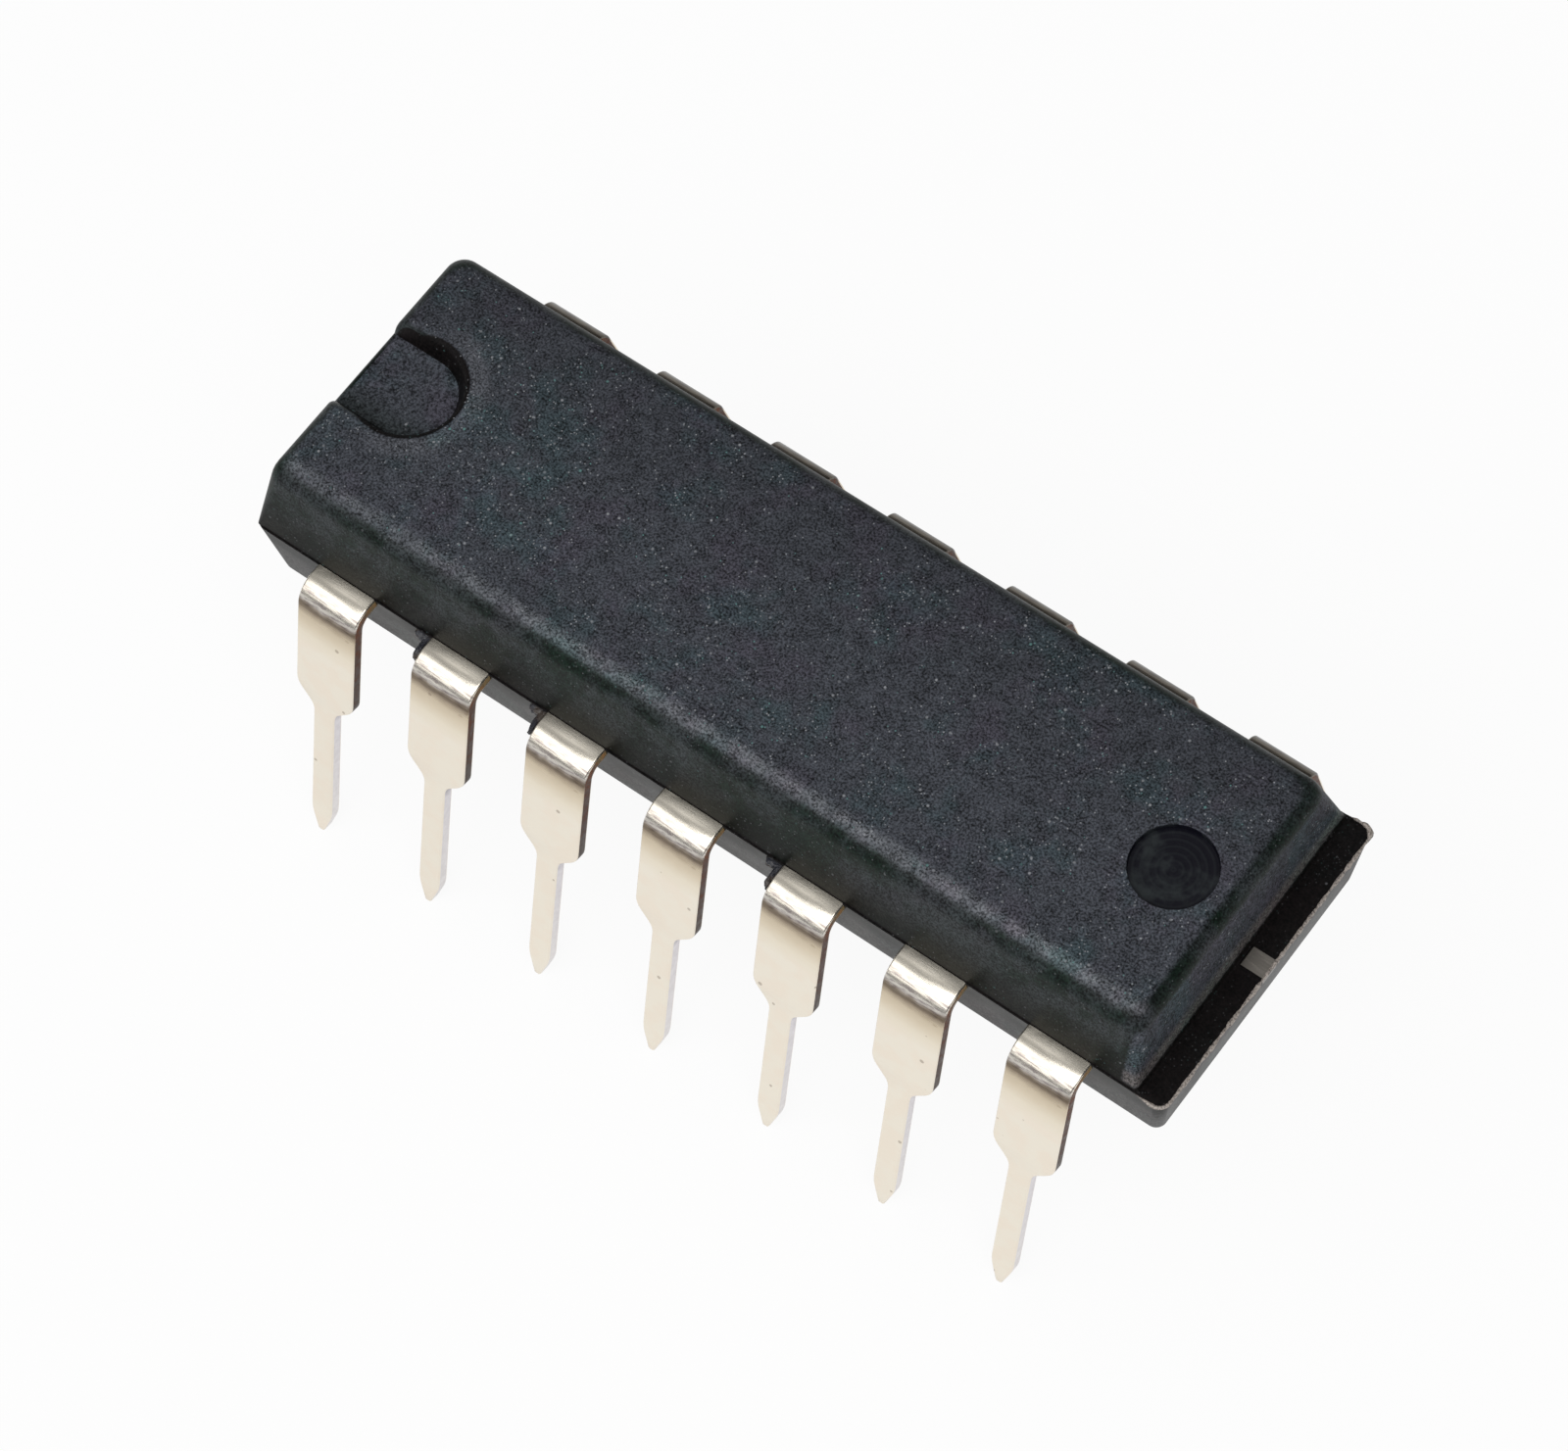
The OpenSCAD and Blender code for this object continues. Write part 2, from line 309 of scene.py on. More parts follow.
def softenRim(bm, material, width, segments):
    rim = [edge for edge in bm.edges if len(edge.link_faces) == 2
           and {face.material_index for face in edge.link_faces} == {resinSlot, material}]
    bmesh.ops.bevel(bm, geom=rim, offset=width * mm, offset_type="OFFSET", segments=segments,
                    profile=0.5, affect="EDGES", clamp_overlap=True, material=resinSlot)


flash = {
    "leads": (2, 3, 5),
    # size along, out from and down the body, and how far each lump is moved along and down, mm
    "lumps": (((0.34, 0.13, 0.2), (-0.02, 0.0)), ((0.14, 0.5, 0.34), (0.015, 0.02))),
    "rooted": 0.25,
    "ragged": 0.03,
    "seed": 4,                 # of the ragged outline
    "squareness": 5,           # 2 is an ellipsoid, more is nearer a block
    "outerTaper": 0.2,
    "endRadius": 0.042,        # thin ragged line along the parting line at the +X end
    "endReach": 0.55,
    "endPoints": 150,
    "endSides": 8,
    "cornerSteps": 6,
    "endSwell": (0.75, 0.7, 0.5),  # even part, long waves and short waves of its radius
    "endTaper": 6,             # points over which it thins out at both ends
}


# Small ragged scraps of resin, squeezed out beside three of the leads
def addFlash(bm):
    noise.seed_set(flash["seed"])
    power = flash["squareness"]
    for lead in flash["leads"]:
        for (along, out, down), (shift, drop) in flash["lumps"]:
            edge = (lead - leads["middle"]) * leads["pitch"] - leads["shoulderWidth"] / 2 + shift
            half = Vector((along, out + flash["rooted"], down)) / 2
            centre = Vector((edge - half.x, half.y - body["halfWidth"] - out,
                             parting - drop - half.z))
            for vert in bmesh.ops.create_icosphere(bm, subdivisions=4, radius=1)["verts"]:
                squared = sum(abs(c) ** power for c in vert.co) ** (1 / power)
                point = vert.co / squared
                push = noise.noise_vector(point * 1.7 + Vector((lead * 3, along * 9, 0)))
                push += noise.noise_vector(point * 4.1 + Vector((0, lead * 3, 0))) * 0.5
                outer = 0.5 - 0.5 * point.y
                point = Vector(a * b for a, b in zip(point, half))
                point *= 1 - flash["outerTaper"] * outer
                vert.co = (centre + point + push * flash["ragged"] * outer) * mm
                for face in vert.link_faces:
                    face.material_index = scrapSlot


# A thin uneven thread of resin along the parting line, round the longer end of the lower half
def addEndThread(bm):
    half, reach, corner = body["halfWidth"], flash["endReach"], body["bottomCorner"]
    last, sides, taper = flash["endPoints"] - 1, flash["endSides"], flash["endTaper"]
    even, longWaves, shortWaves = flash["endSwell"]
    path = [Vector((halfLength - reach, -half, 0)), Vector((halfLength - corner, -half, 0))]
    for k in range(1, flash["cornerSteps"] + 1):
        turn = pi / 2 * (k / flash["cornerSteps"] - 1)
        path.append(Vector((halfLength - corner + corner * cos(turn),
                            corner - half + corner * sin(turn), 0)))
    path += [Vector((p.x, -p.y, 0)) for p in reversed(path)]
    lengths = [(b - a).length for a, b in zip(path, path[1:])]
    rings = []
    for i in range(last + 1):
        left = sum(lengths) * i / last
        for k, length in enumerate(lengths):
            if left <= length or k == len(lengths) - 1:
                break
            left -= length
        along = (path[k + 1] - path[k]).normalized()
        spot = path[k] + along * left
        outward = Vector((along.y, -along.x, 0))
        wave = noise.noise(spot * 3.1), noise.noise(spot * 9.7 + Vector((0, 0, 5)))
        radius = flash["endRadius"] * (even + longWaves * wave[0] + shortWaves * wave[1])
        radius *= min(1, i / taper, (last - i) / taper) + 0.02
        middle = spot + outward * radius * 0.3
        middle.z = parting - 0.012 + 0.02 * wave[1]
        rings.append([bm.verts.new((middle + radius * (outward * cos(turn)
                                                       + Vector((0, 0, sin(turn))))) * mm)
                      for turn in (tau * k / sides for k in range(sides))])
    for before, after in zip(rings, rings[1:]):
        for k in range(sides):
            m = (k + 1) % sides
            bm.faces.new((before[k], before[m], after[m], after[k])).material_index = scrapSlot
    for cap in (rings[0][::-1], rings[-1]):
        bm.faces.new(cap).material_index = scrapSlot


def markPlaces(bm):
    centres = ((topMarkX, bodyHigh.z), (-body["bottomMarkSpan"] / 2, bodyLow.z),
               (body["bottomMarkSpan"] / 2, bodyLow.z))
    place = bm.loops.layers.uv.new("markPlace")
    for face in bm.faces:
        if face.material_index == markSlot:
            middle = face.calc_center_median() / mm
            x = min(centres, key=lambda c: (c[0] - middle.x) ** 2 + (c[1] - middle.z) ** 2)[0]
            for loop in face.loops:
                loop[place].uv = (loop.vert.co.x / mm - x, loop.vert.co.y / mm)


def makeBody():
    piece = lofted("moulded_body", bodyLoops())
    for _ in range(4):
        piece.data.materials.append(None)
    spans = body["bottomMarkSpan"] / 2
    start, past = body["tieOpening"]
    ledge, end = body["tieCover"]
    cutters = [notchCutter(), tieCutter(upperEnd + start, halfLength + past, ledge),
               tieCutter(-halfLength - past, -halfLength + start, end)]
    cutters += [markCutter(x, side) for x, side in ((topMarkX, 1), (-spans, -1), (spans, -1))]
    for cutter in cutters:
        cut = piece.modifiers.new("recess", "BOOLEAN")
        cut.operation, cut.solver, cut.object = "DIFFERENCE", "EXACT", cutter
        cut.material_mode = "INDEX"
    piece = settle(piece)
    for cutter in cutters:
        bpy.data.objects.remove(cutter)
    bm = bmesh.new()
    bm.from_mesh(piece.data)
    bmesh.ops.remove_doubles(bm, verts=bm.verts, dist=1e-7)
    softenRim(bm, notchSlot, body["notchRim"], body["rimSegments"][0])
    softenRim(bm, markSlot, body["markRim"], body["rimSegments"][1])
    addFlash(bm)
    addEndThread(bm)
    markPlaces(bm)
    bm.to_mesh(piece.data)
    bm.free()
    shadeSoftly(piece)
    return piece


leads = {
    "perSide": 7,
    "middle": 4,
    "pitch": 2.54,             # mm
    "thickness": 0.25,
    "shoulderWidth": 1.28,
    "neckLength": 0.41,
    "pinWidth": 0.46,
    "taperLength": 0.55,
    "tipWidth": 0.12,
    "cornerBlend": 0.17,
    "edgeRound": 0.036,        # plated over, so the bare cut edge is narrower than the strip
    "edgeSegments": 3,
    "edgeAngle": 50,           # degrees, sharper edges than this are rounded
    "lean": (-0.015, -0.017, -0.016, -0.005, 0, 0.003, 0.006, 0, 0.004, -0.003, 0, 0.004, 0, 0),
    "rootInset": 0.5,          # root reaches this far into the resin
    "fingerWidth": 0.34,
    "fingerTips": ((0, 1.67), (1.15, 1.67), (2.27, 1.11), (2.27, 0.57)),
    "kneeRun": 0.45,
    "bendSteps": 20,
}

# The two rows were formed a little differently: flat run out of the resin, bend, splay, lengths
leadRows = {
    "near": {"standOut": 0.16, "innerBend": 0.26, "splay": 12.7, "shoulder": 2.25, "pin": 3.70},
    "far": {"standOut": 0.06, "innerBend": 0.2, "splay": 14, "shoulder": 2.2, "pin": 3.84},
}
for shape in leadRows.values():
    shape["start"] = body["halfWidth"] + shape["standOut"]
    shape["radius"] = shape["innerBend"] + leads["thickness"] / 2
    shape["angle"] = radians(90 - shape["splay"])
    shape["legStart"] = shape["start"] + shape["radius"] * shape["angle"]


# Corners of a (distance, half width) outline, each turned into a short curve
def blendCorners(points, reach, steps=4):
    rows = [points[0]]
    for before, corner, after in zip(points, points[1:], points[2:]):
        before, corner, after = Vector(before), Vector(corner), Vector(after)
        a = corner + (before - corner).normalized() * reach
        b = corner + (after - corner).normalized() * reach
        for k in range(steps + 1):
            t = k / steps
            rows.append(tuple(a * (1 - t) ** 2 + corner * 2 * t * (1 - t) + b * t * t))
    rows.append(points[-1])
    return rows


# Rows of points across the flat blank of one lead, from finger tip to pin tip
def blankRows(place, shape):
    wide, pin, finger = (leads[k] / 2 for k in ("shoulderWidth", "pinWidth", "fingerWidth"))
    root = body["halfWidth"] - leads["rootInset"]
    tipX, tipY = leads["fingerTips"][place]
    tip = Vector((place * leads["pitch"] - tipX, tipY))
    knee = Vector((0, root - leads["kneeRun"] * max(place - 1, 0.5)))
    run = (knee - tip).normalized() if place else Vector((0, 1))
    side = Vector((run.y, -run.x)) * finger
    rows = [[tip - side, tip + side]]
    if place:
        mitre = (run + Vector((0, 1))).normalized()
        across = Vector((mitre.y, -mitre.x)) * finger / mitre.y
        rows.append([knee - across, knee + across])
    rows.append([Vector((x, root)) for x in (-wide, -finger, finger, wide)])
    for k in range(leads["bendSteps"] + 1):
        s = shape["start"] + (shape["legStart"] - shape["start"]) * k / leads["bendSteps"]
        rows.append([Vector((-wide, s)), Vector((wide, s))])
    tipHalf = leads["tipWidth"] / 2
    shoulder = shape["legStart"] + shape["shoulder"]
    neck = shoulder + leads["neckLength"]
    end = neck + shape["pin"]
    edge = blendCorners([(shape["legStart"], wide), (shoulder, wide), (neck, pin),
                         (end - leads["taperLength"], pin), (end, tipHalf)],
                        leads["cornerBlend"])
    rows += [[Vector((-half, s)), Vector((half, s))] for s, half in edge[1:]]
    return rows


# The strip map holds the place across the lead and the distance past its bend, in mm
def blankMesh(name, place, column, toCentre, shape):
    bm = bmesh.new()
    strip = bm.loops.layers.uv.new("strip")
    before = None
    for row in blankRows(place, shape):
        if toCentre < 0:
            row = [Vector((-p.x, p.y)) for p in reversed(row)]
        now = [bm.verts.new(((column * leads["pitch"] + p.x) * mm, p.y * mm, 0)) for p in row]
        if before and len(before) == 2 and len(now) == 4:
            bm.faces.new(before + [now[2], now[1]])
        elif before:
            bm.faces.new(before + now[::-1])
        before = now
    for face in bm.faces:
        for loop in face.loops:
            x, s, _ = loop.vert.co / mm
            loop[strip].uv = (x - column * leads["pitch"], s - shape["legStart"])
    bmesh.ops.recalc_face_normals(bm, faces=bm.faces)
    return meshFrom(name, bm)


# Helpers for building node trees
def feed(tree, socket, value):
    if isinstance(value, bpy.types.NodeSocket):
        tree.links.new(value, socket)
    elif socket.type == "RGBA" and len(value) == 3:
        socket.default_value = (*value, 1)
    else:
        socket.default_value = value


def addNode(tree, kind, inputs=None, **settings):
    node = tree.nodes.new(kind)
    for key, value in settings.items():
        setattr(node, key, value)
    for key, value in (inputs or {}).items():
        feed(tree, node.inputs[key], value)
    return node


def calc(tree, operation, *values):
    return addNode(tree, "ShaderNodeMath", dict(enumerate(values)), operation=operation).outputs[0]


def product(tree, *values):
    result = values[0]
    for value in values[1:]:
        result = calc(tree, "MULTIPLY", result, value)
    return result


# Geometry Nodes: bends a flat blank, whose Y is the distance along the strip
def formLeadTree():
    tree = bpy.data.node_groups.new("formLead", "GeometryNodeTree")
    face = tree.interface
    face.new_socket("Geometry", in_out="OUTPUT", socket_type="NodeSocketGeometry")
    face.new_socket("Blank", in_out="INPUT", socket_type="NodeSocketGeometry")
    for name in ("Bend start", "Bend radius", "Bend angle", "Frame height", "Lean"):
        face.new_socket(name, in_out="INPUT", socket_type="NodeSocketFloat")
    face.new_socket("Plating", in_out="INPUT", socket_type="NodeSocketMaterial")
    given = tree.nodes.new("NodeGroupInput").outputs
    where = tree.nodes.new("GeometryNodeInputPosition")
    part = addNode(tree, "ShaderNodeSeparateXYZ", {0: where.outputs[0]})
    start, radius, angle = (given[n] for n in ("Bend start", "Bend radius", "Bend angle"))
    run = calc(tree, "SUBTRACT", part.outputs["Y"], start)
    turn = calc(tree, "MAXIMUM", calc(tree, "DIVIDE", run, radius), 0.0)
    turn = calc(tree, "MINIMUM", turn, angle)
    leg = calc(tree, "MAXIMUM", calc(tree, "SUBTRACT", run, product(tree, radius, angle)), 0.0)
    flat = calc(tree, "MINIMUM", part.outputs["Y"], start)
    out = calc(tree, "MULTIPLY_ADD", radius, calc(tree, "SINE", turn),
               calc(tree, "MULTIPLY_ADD", leg, calc(tree, "COSINE", angle), flat))
    drop = calc(tree, "SUBTRACT", 1.0, calc(tree, "COSINE", turn))
    fall = calc(tree, "MULTIPLY_ADD", leg, calc(tree, "SINE", angle), product(tree, radius, drop))
    height = calc(tree, "SUBTRACT", given["Frame height"], fall)
    aside = calc(tree, "MULTIPLY_ADD", leg, given["Lean"], part.outputs["X"])
    place = addNode(tree, "ShaderNodeCombineXYZ", {0: aside, 1: out, 2: height})
    bend = addNode(tree, "GeometryNodeSetPosition",
                   {"Geometry": given["Blank"], "Position": place.outputs[0]})
    real = addNode(tree, "GeometryNodeRealizeInstances", {0: bend.outputs[0]})
    finish = addNode(tree, "GeometryNodeSetMaterial",
                     {"Geometry": real.outputs[0], "Material": given["Plating"]})
    addNode(tree, "NodeGroupOutput", {0: finish.outputs[0]})
    return tree


def setInputs(modifier, **values):
    for item in modifier.node_group.interface.items_tree:
        key = item.name.replace(" ", "")
        if item.in_out == "INPUT" and key in values:
            modifier[item.identifier] = values[key]


def makeLead(number, tree, plating, cutEdge):
    near = number <= leads["perSide"]
    column = (number if near else 2 * leads["perSide"] + 1 - number) - leads["middle"]
    toCentre = -1 if column > 0 else 1
    shape = leadRows["near" if near else "far"]
    name = f"formed_lead_{number:02d}"
    piece = newObject(name, blankMesh(name, abs(column), column, toCentre, shape))
    for material in (plating, cutEdge):
        piece.data.materials.append(material)
    form = piece.modifiers.new("form", "NODES")
    form.node_group = tree
    setInputs(form, Bendstart=shape["start"] * mm, Bendradius=shape["radius"] * mm,
              Bendangle=shape["angle"],
              Frameheight=(parting - leads["thickness"] / 2) * mm,
              Lean=leads["lean"][number - 1], Plating=plating)
    piece = settle(piece)
    while len(piece.data.materials) < 2:
        piece.data.materials.append(cutEdge)
    thick = piece.modifiers.new("thickness", "SOLIDIFY")
    thick.thickness, thick.offset = leads["thickness"] * mm, 0
    thick.use_even_offset = True
    thick.material_offset_rim = 1
    soft = piece.modifiers.new("edgeRound", "BEVEL")
    soft.width, soft.segments = leads["edgeRound"] * mm, leads["edgeSegments"]
    soft.limit_method, soft.angle_limit = "ANGLE", radians(leads["edgeAngle"])
    soft.material = 0
    piece = settle(piece)
    if near:
        piece.data.transform(Matrix.Scale(-1, 4, Vector((0, 1, 0))))
    bm = bmesh.new()
    bm.from_mesh(piece.data)
    bmesh.ops.recalc_face_normals(bm, faces=bm.faces)
    bm.to_mesh(piece.data)
    bm.free()
    shadeSoftly(piece)
    return piece


def newMaterial(name, roughness=0.5, metallic=0.0, specular=0.5):
    material = bpy.data.materials.new(name)
    material.use_nodes = True
    tree = material.node_tree
    tree.nodes.clear()
    shader = addNode(tree, "ShaderNodeBsdfPrincipled",
                     {"Roughness": roughness, "Metallic": metallic, "Specular IOR Level": specular})
    addNode(tree, "ShaderNodeOutputMaterial", {0: shader.outputs[0]})
    return material, tree, shader


# The object's own coordinates, in millimetres
def inMillimetres(tree):
    spot = addNode(tree, "ShaderNodeTexCoord").outputs["Object"]
    return addNode(tree, "ShaderNodeMapping", {"Vector": spot, "Scale": (1 / mm,) * 3}).outputs[0]


def split(tree, vector):
    return addNode(tree, "ShaderNodeSeparateXYZ", {0: vector}).outputs


def rise(tree, value, low, high, toLow=0.0, toHigh=1.0):
    return addNode(tree, "ShaderNodeMapRange",
                   {"Value": value, "From Min": low, "From Max": high, "To Min": toLow,
                    "To Max": toHigh}, interpolation_type="SMOOTHSTEP").outputs[0]


# 1 up to core away from a value, falling softly to 0 at reach away from it
def band(tree, value, middle, reach, core=0.0):
    away = calc(tree, "ABSOLUTE", calc(tree, "SUBTRACT", value, middle))
    return rise(tree, away, core, reach, 1.0, 0.0)


def mixed(tree, factor, a, b, blend="MIX"):
    return addNode(tree, "ShaderNodeMix", {0: factor, 6: a, 7: b}, data_type="RGBA",
                   blend_type=blend).outputs[2]


def scaled(tree, colour, by):
    return addNode(tree, "ShaderNodeVectorMath", {0: colour, 3: by},
                   operation="SCALE").outputs["Vector"]


def rough(tree, place, scale, detail=2.0, roughness=0.5):
    return addNode(tree, "ShaderNodeTexNoise", {"Vector": place, "Scale": scale, "Detail": detail,
                                                "Roughness": roughness}).outputs["Fac"]


# The colour that a list of (distance, colour) stops has at a distance
def tracedColour(tree, distance, trace):
    low, high = trace[0][0], trace[-1][0]
    share = addNode(tree, "ShaderNodeMapRange",
                    {"Value": distance, "From Min": low, "From Max": high}).outputs[0]
    ramp = addNode(tree, "ShaderNodeValToRGB", {0: share})
    stops = ramp.color_ramp.elements
    while len(stops) < len(trace):
        stops.new(0.5)
    for stop, (place, shade) in zip(stops, trace):
        stop.position = (place - low) / (high - low)
        stop.color = (*shade, 1)
    return ramp.outputs[0]


# Ends a material: its colour, its roughness and a relief so many mm deep
def dress(tree, shader, colour, roughness, height, depth):
    relief = addNode(tree, "ShaderNodeBump", {"Height": height, "Distance": depth * mm})
    for label, value in (("Base Color", colour), ("Roughness", roughness),
                         ("Normal", relief.outputs[0])):
        feed(tree, shader.inputs[label], value)


def startGroup(name, inputs, outputs):
    tree = bpy.data.node_groups.new(name, "ShaderNodeTree")
    for label, value in inputs.items():
        kind = "NodeSocketVector" if value is None else "NodeSocketFloat"
        socket = tree.interface.new_socket(label, in_out="INPUT", socket_type=kind)
        if value is not None:
            socket.default_value = value
    for label in outputs:
        kind = "NodeSocketColor" if label == "Tint" else "NodeSocketFloat"
        tree.interface.new_socket(label, in_out="OUTPUT", socket_type=kind)
    return tree, tree.nodes.new("NodeGroupInput").outputs


def endGroup(tree, **results):
    addNode(tree, "NodeGroupOutput", results)
    return tree


# Scattered specks: size in mm, and the share of places that has one
def speckGroup():
    tree, given = startGroup("specks", {"Place": None, "Size": 0.05, "Share": 0.1},
                             ("Mask", "Tint"))
    cells = addNode(tree, "ShaderNodeTexVoronoi",
                    {"Vector": given["Place"], "Scale": calc(tree, "DIVIDE", 1.0, given["Size"])})
    luck = split(tree, cells.outputs["Color"])[0]
    least = calc(tree, "SUBTRACT", 1.0, given["Share"])
    chosen = rise(tree, calc(tree, "SUBTRACT", luck, least), -0.01, 0.01)
    mask = product(tree, chosen, rise(tree, cells.outputs["Distance"], 0.2, 0.5, 1.0, 0.0))
    return endGroup(tree, Mask=mask, Tint=cells.outputs["Color"])


# Soft patches and a fine grain, for moulded resin and glue
def grainGroup():
    tree, given = startGroup("mouldedGrain", {"Place": None, "Grain size": 0.05,
                                              "Patch size": 1.0},
                             ("Grain", "Patches", "Other patches"))
    fine = calc(tree, "DIVIDE", 1.0, given["Grain size"])
    wide = calc(tree, "DIVIDE", 1.0, given["Patch size"])
    aside = addNode(tree, "ShaderNodeMapping", {"Vector": given["Place"],
                                                "Location": (11.3, 4.7, 2.9)}).outputs[0]
    return endGroup(tree, **{"Grain": rough(tree, given["Place"], fine, 2.0, 0.6),
                             "Patches": rough(tree, given["Place"], wide, 3.0, 0.6),
                             "Other patches": rough(tree, aside, wide, 3.0, 0.6)})


# Rolling and forming marks on metal, along the first axis of its input
def brushGroup():
    tree, given = startGroup("brushing", {"Place": None, "Length": 0.6, "Width": 0.03},
                             ("Streaks", "Cloud"))
    x, y, z = split(tree, given["Place"])[:3]
    drawn = addNode(tree, "ShaderNodeCombineXYZ",
                    {0: calc(tree, "DIVIDE", x, given["Length"]),
                     1: calc(tree, "DIVIDE", y, given["Width"]),
                     2: calc(tree, "DIVIDE", z, given["Width"])}).outputs[0]
    return endGroup(tree, Streaks=rough(tree, drawn, 1.0, 3.0, 0.65),
                    Cloud=rough(tree, given["Place"], 2.2, 2.0, 0.5))


effects = {"specks": speckGroup(), "grain": grainGroup(), "brushing": brushGroup()}
print("shared effects:", ", ".join(effects))


def effect(tree, name, **inputs):
    node = tree.nodes.new("ShaderNodeGroup")
    node.node_tree = effects[name]
    for key, value in inputs.items():
        feed(tree, node.inputs[key], value)
    return node.outputs


resin = {
    "topColour": (0.047, 0.051, 0.061),
    # the sides are the same resin as the top; their darker colour is painted shade
    "sideColour": (0.026, 0.031, 0.033),
    # painted shade: the sides darken down to this near the parting line and the leads
    "lowColour": (0.007, 0.0075, 0.006),
    # dark seam along the parting line; also painted shade on the notch's rim and walls
    "seamColour": (0.004, 0.003, 0.003),
    "footColour": (0.10, 0.096, 0.092),
    "lowerHalfColour": (0.042, 0.041, 0.040),
    # painted highlight along the near top edge of the body
    "rubbedColour": (0.125, 0.133, 0.145),
    # painted highlight in a ring round the notch
    "haloColour": (0.088, 0.092, 0.104),
    "blotchTint": (0.22, 0.36, 0.24),
    "tealTint": (0.84, 1.06, 1.02),
    "violetTint": (1.08, 0.97, 1.03),
    "fleckColour": (0.30, 0.31, 0.33),
    "fleckTeal": (0.12, 0.25, 0.24),
    "grain": {"Grain size": 0.042, "Patch size": 1.1},  # mm
    "grainShade": (0.12, 1.42),
    "coarseNoise": (5.0, 3.0, 0.6),    # scale per mm, detail, roughness
    "coarseShade": (0.0, 0.5),
    "blotchNoise": (0.9, 5.0, 0.65),
    "rubbedNoise": (3.0, 4.0, 0.65),
    "flecks": ((0.04, 0.14), (0.07, 0.035)),    # size in mm and share, fine and large ones
    "notchFlecks": ((0.05, 0.12), (0.085, 0.04)),
    "fleckFalloff": 2.6,       # more makes most flecks fainter
    "roughness": (0.40, 0.52),  # polished and rough parts of the mould
    "bumpDepth": 0.006,
    "specular": 0.1,
}


# Colour, flecks, gloss and grain of the resin; matte is 1 where the mould was left rough
def finishResin(tree, shader, place, matte, colour, flecked):
    grain = effect(tree, "grain", Place=place, **resin["grain"])
    colour = mixed(tree, rise(tree, grain["Patches"], 0.48, 0.68), colour,
                   resin["tealTint"], "MULTIPLY")
    colour = mixed(tree, rise(tree, grain["Other patches"], 0.48, 0.68), colour,
                   resin["violetTint"], "MULTIPLY")
    coarse = rough(tree, place, *resin["coarseNoise"])
    shade = calc(tree, "ADD", rise(tree, grain["Grain"], 0.34, 0.66, *resin["grainShade"]),
                 rise(tree, coarse, 0.3, 0.7, *resin["coarseShade"]))
    colour = scaled(tree, colour, shade)
    clustered = rise(tree, grain["Patches"], 0.4, 0.62, 0.25, 1.8)
    weight = rise(tree, matte, 0.0, 1.0, 0.3, 1.0)
    for size, share in flecked:
        spots = effect(tree, "specks", Place=place, Size=size,
                       Share=product(tree, clustered, share))
        hue = rise(tree, split(tree, spots["Tint"])[1], 0.84, 0.9)
        fleck = mixed(tree, hue, resin["fleckColour"], resin["fleckTeal"])
        strength = calc(tree, "POWER", split(tree, spots["Tint"])[2], resin["fleckFalloff"])
        colour = mixed(tree, product(tree, spots["Mask"], strength, weight), colour, fleck)
    gloss = calc(tree, "ADD", rise(tree, matte, 0.0, 1.0, *resin["roughness"]),
                 product(tree, calc(tree, "SUBTRACT", grain["Other patches"], 0.5), 0.2))
    height = product(tree, grain["Grain"], rise(tree, matte, 0.0, 1.0, 0.35, 1.0))
    dress(tree, shader, colour, gloss, height, resin["bumpDepth"])


# Where the finishes, painted shade and painted highlights of the resin start and are full, mm
zones = {
    "top": (-0.075, -0.008),   # from the top face
    "endSlope": (-0.35, -0.25),    # from the upper half's +X end
    "endSlopeTop": (-0.4, -0.28),  # from the top face
    "endSlopeFoot": (0.04, 0.12),  # from the parting line
    "footOfEnd": (0.25, 0.5),
    # painted shade on the sides, lightening upwards from the parting line
    "sides": (0.15, 1.2),
    "lowerHalf": (-0.8, -0.3),
    # painted shade: the top's colour is scaled between these, from the near side to the far side
    "dimmerTop": (-1.0, 2.6),  # across the body
    "dimmerBy": (1.04, 0.82),
    # painted highlight: a pale band along the near top edge only
    "rubbedReach": 0.24,       # each way from the near top edge
    "rubbedInset": 0.03,
    "rubbedHeight": (-0.15, -0.02),  # from the top face
    "rubbedAlong": (-7.5, -1.0),
    # painted highlight on the top round the notch
    "haloStart": (1.04, 1.14),  # from the notch's centre
    "haloEnd": (1.2, 1.6),
    "haloAlong": (-0.3, 0.6),
    # painted shade on the notch's rounded rim
    "lip": (1.05, 1.1),
    "lipHeight": (-0.3, -0.2),  # from the top face
    "seam": (0.07, 0.012),     # each way from the parting line
    # the notch's walls above its floor get painted shade
    "notchFloor": (0.004, 0.02),   # over the floor of the notch
    "notchShadow": (-0.8, -0.15),  # across the notch
}


# A soft step between the two ends of one of the zones, counted from a place
def zoned(tree, value, zone, start=0.0, toLow=0.0, toHigh=1.0):
    low, high = zones[zone]
    return rise(tree, value, start + low, start + high, toLow, toHigh)


